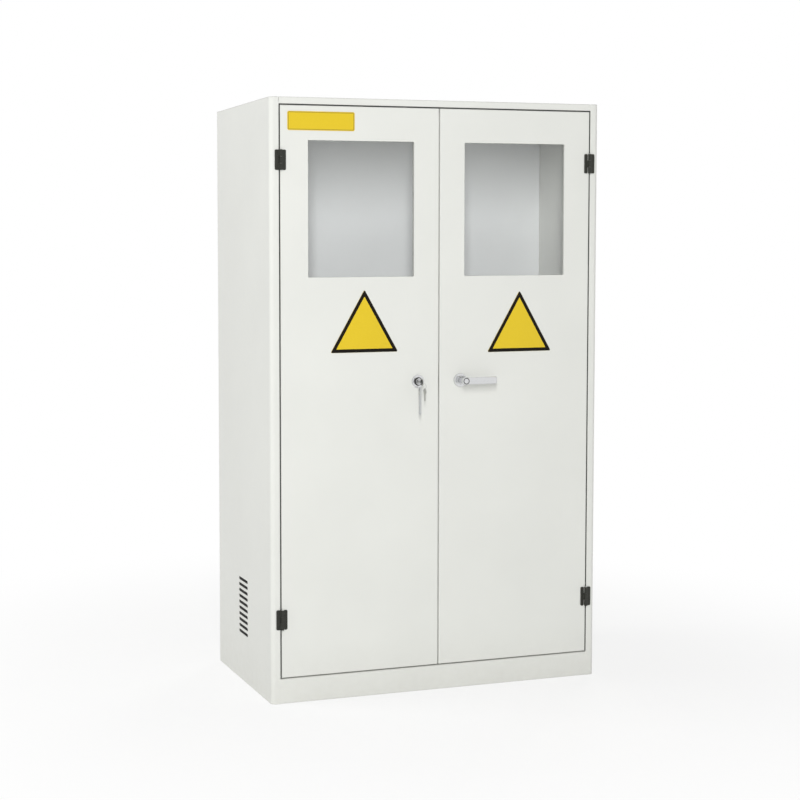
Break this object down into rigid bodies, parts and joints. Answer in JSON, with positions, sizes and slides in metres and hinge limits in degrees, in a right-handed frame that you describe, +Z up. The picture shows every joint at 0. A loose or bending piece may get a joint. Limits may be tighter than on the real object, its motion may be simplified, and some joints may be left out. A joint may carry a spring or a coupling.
{
  "type": "gas cylinder cabinet",
  "caption": "Tall sheet-steel cabinet with two windowed doors, lever and key lock, side louvres, roof exhaust collar and brackets that hold upright gas cylinders.",
  "frame": {"origin": "middle of the underside of the base, halfway across the width and the body's depth", "axes": "+Z up, +Y towards the back panel, +X to the right as seen by someone who faces the doors"},
  "size_m": [1.2, 0.654, 2.04],
  "materials": {
    "white_enamel": "smooth warm white powder coat, low sheen",
    "interior_grey": "light grey powder coat inside the body",
    "hinge_black": "charcoal powder coat on cast hinge leaves",
    "seal_rubber": "dark grey hollow rubber",
    "window_glass": "clear laminated safety glass",
    "zinc_plated": "bright zinc plate",
    "bright_chrome": "polished chrome plate",
    "tag_plastic": "pale grey moulded plastic"
  },
  "bodies": {
    "carcass": {"side_panel_left": "white_enamel", "side_panel_right": "white_enamel", "back_panel": "white_enamel", "roof_panel": "white_enamel", "header_rail": "white_enamel", "sill_rail": "white_enamel", "floor_pan": "interior_grey", "base_channel_front": "zinc_plated", "base_channel_middle": "zinc_plated", "base_channel_rear": "zinc_plated", "inner_back_panel": "interior_grey", "exhaust_collar": "zinc_plated", "bracket_rail": "zinc_plated", "cylinder_bracket_1": "interior_grey", "cylinder_bracket_2": "interior_grey", "cylinder_bracket_3": "interior_grey", "cylinder_bracket_4": "interior_grey", "frame_seal": "seal_rubber", "rod_keeper_top": "zinc_plated", "rod_keeper_bottom": "zinc_plated", "hinge_frame_leaf_left_top": "hinge_black", "hinge_pin_left_top": "zinc_plated", "hinge_frame_leaf_left_bottom": "hinge_black", "hinge_pin_left_bottom": "zinc_plated", "hinge_frame_leaf_right_top": "hinge_black", "hinge_pin_right_top": "zinc_plated", "hinge_frame_leaf_right_bottom": "hinge_black", "hinge_pin_right_bottom": "zinc_plated"},
    "left_door": {"door_shell_left": "white_enamel", "door_stiffener_left": "white_enamel", "window_pane_left": "window_glass", "window_retainer_left": "white_enamel", "meeting_seal_upper": "seal_rubber", "meeting_seal_lower": "seal_rubber", "lock_case": "zinc_plated", "lock_rose": "bright_chrome", "lock_cylinder": "bright_chrome", "hinge_door_leaf_left_top": "hinge_black", "hinge_door_leaf_left_bottom": "hinge_black"},
    "key": {"lock_plug": "bright_chrome", "door_key": "bright_chrome"},
    "bolt": {"lock_bolt": "zinc_plated"},
    "key_bunch": {"key_ring": "bright_chrome", "spare_key": "bright_chrome", "key_tag": "tag_plastic"},
    "right_door": {"door_shell_right": "white_enamel", "door_stiffener_right": "white_enamel", "window_pane_right": "window_glass", "window_retainer_right": "white_enamel", "handle_rose": "bright_chrome", "handle_backplate": "zinc_plated", "rod_guide_upper": "zinc_plated", "rod_guide_lower": "zinc_plated", "hinge_door_leaf_right_top": "hinge_black", "hinge_door_leaf_right_bottom": "hinge_black"},
    "handle": {"lever_handle": "bright_chrome", "crank_spindle": "zinc_plated"},
    "upper_rod": {"rod_upper": "zinc_plated"},
    "lower_rod": {"rod_lower": "zinc_plated"}
  },
  "joints": [
    {"name": "left_door_hinge", "type": "hinge", "parent": "carcass", "child": "left_door", "pos_m": [-0.5635, -0.306, 1], "axis": [0, 0, -1], "range_deg": [0, 120]},
    {"name": "right_door_hinge", "type": "hinge", "parent": "carcass", "child": "right_door", "pos_m": [0.5635, -0.306, 1], "axis": [0, 0, 1], "range_deg": [0, 120]},
    {"name": "key_turn", "type": "hinge", "parent": "left_door", "child": "key", "pos_m": [-0.078, -0.3, 1.06], "axis": [0, 1, 0], "range_deg": [0, 90]},
    {"name": "bolt_slide", "type": "slide", "parent": "left_door", "child": "bolt", "axis": [1, 0, 0], "range_m": [0, 0.0142]},
    {"name": "key_ring_swing", "type": "hinge", "parent": "key", "child": "key_bunch", "pos_m": [-0.078, -0.34, 1.058], "axis": [-1, 0, 0], "range_deg": [-10, 90]},
    {"name": "handle_turn", "type": "hinge", "parent": "right_door", "child": "handle", "pos_m": [0.077, -0.3, 1.06], "axis": [0, 1, 0], "range_deg": [0, 90]},
    {"name": "upper_rod_slide", "type": "slide", "parent": "right_door", "child": "upper_rod", "axis": [0, 0, 1], "range_m": [0, 0.017]},
    {"name": "lower_rod_slide", "type": "slide", "parent": "right_door", "child": "lower_rod", "axis": [0, 0, -1], "range_m": [0, 0.017]}
  ],
  "couplings": [
    {"joint": "bolt_slide", "follows": "key_turn", "m_per_rad": 0.0090032},
    {"joint": "upper_rod_slide", "follows": "handle_turn", "m_per_rad": 0.010804},
    {"joint": "lower_rod_slide", "follows": "handle_turn", "m_per_rad": 0.010804}
  ]
}
